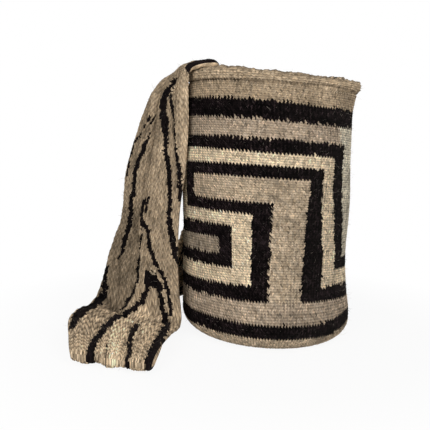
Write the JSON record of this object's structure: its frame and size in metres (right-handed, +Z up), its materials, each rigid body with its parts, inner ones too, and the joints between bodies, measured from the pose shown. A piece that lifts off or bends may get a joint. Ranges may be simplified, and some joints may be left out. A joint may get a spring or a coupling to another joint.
{
  "type": "bag",
  "caption": "Crocheted wool mochila bucket bag in tan, cream and near-black with a stepped meander pattern, an oval mouth and a wide striped braided shoulder strap draped over its left side.",
  "frame": {"origin": "the centre of the base, on the surface that the bag stands on (the mount base)", "axes": "+X to the bag's right as seen from the front, -Y towards the front, +Z up"},
  "size_m": [0.2918, 0.261, 0.2879],
  "materials": {
    "body_wool": "matte crocheted wool",
    "strap_wool": "matte braided wool"
  },
  "bodies": {
    "root": {"bag_body": "body_wool", "strap": "strap_wool"}
  },
  "joints": []
}
